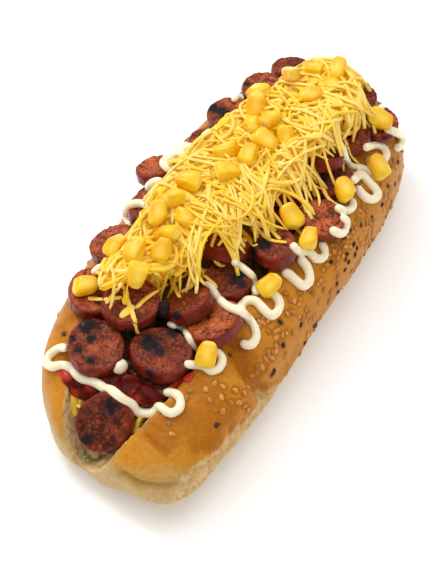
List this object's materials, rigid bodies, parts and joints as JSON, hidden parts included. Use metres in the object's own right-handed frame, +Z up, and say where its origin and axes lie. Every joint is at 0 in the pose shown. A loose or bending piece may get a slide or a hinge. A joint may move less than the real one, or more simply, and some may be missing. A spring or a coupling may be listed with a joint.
{
  "type": "choripan",
  "caption": "Long soft roll split along the top, filled with relish and heaped with grilled sausage slices, shredded cheese, sweetcorn and sauces; rests on its flat base.",
  "frame": {"origin": "centre of the underside of the roll, on the surface it rests on", "axes": "+Z up, +Y along the roll away from its split front end, +X to the right of the roll seen from that end"},
  "size_m": [0.0906, 0.2152, 0.0694],
  "materials": {
    "bun": "satin",
    "relish": "gloss",
    "sausage": "satin",
    "cheese": "satin",
    "corn": "gloss",
    "mayonnaise": "gloss",
    "ketchup": "gloss",
    "seeds": "satin"
  },
  "bodies": {
    "root": {"bun": "bun", "relish": "relish", "cheese_heap": "cheese", "sausage_slice_01": "sausage", "sausage_slice_02": "sausage", "sausage_slice_03": "sausage", "sausage_slice_04": "sausage", "sausage_slice_05": "sausage", "sausage_slice_06": "sausage", "sausage_slice_07": "sausage", "sausage_slice_08": "sausage", "sausage_slice_09": "sausage", "sausage_slice_10": "sausage", "sausage_slice_11": "sausage", "sausage_slice_12": "sausage", "sausage_slice_13": "sausage", "sausage_slice_14": "sausage", "sausage_slice_15": "sausage", "sausage_slice_16": "sausage", "sausage_slice_17": "sausage", "sausage_slice_18": "sausage", "sausage_slice_19": "sausage", "sausage_slice_20": "sausage", "sausage_slice_21": "sausage", "sausage_slice_22": "sausage", "sausage_slice_23": "sausage", "sausage_slice_24": "sausage", "sausage_slice_25": "sausage", "sausage_slice_26": "sausage", "sausage_slice_27": "sausage", "corn_kernel_01": "corn", "corn_kernel_02": "corn", "corn_kernel_03": "corn", "corn_kernel_04": "corn", "corn_kernel_05": "corn", "corn_kernel_06": "corn", "corn_kernel_07": "corn", "corn_kernel_08": "corn", "corn_kernel_09": "corn", "corn_kernel_10": "corn", "corn_kernel_11": "corn", "corn_kernel_12": "corn", "corn_kernel_13": "corn", "corn_kernel_14": "corn", "corn_kernel_15": "corn", "corn_kernel_16": "corn", "corn_kernel_17": "corn", "corn_kernel_18": "corn", "corn_kernel_19": "corn", "corn_kernel_20": "corn", "corn_kernel_21": "corn", "corn_kernel_22": "corn", "corn_kernel_23": "corn", "corn_kernel_24": "corn", "corn_kernel_25": "corn", "corn_kernel_26": "corn", "corn_kernel_27": "corn", "corn_kernel_28": "corn", "corn_kernel_29": "corn", "corn_kernel_30": "corn"}
  },
  "joints": []
}
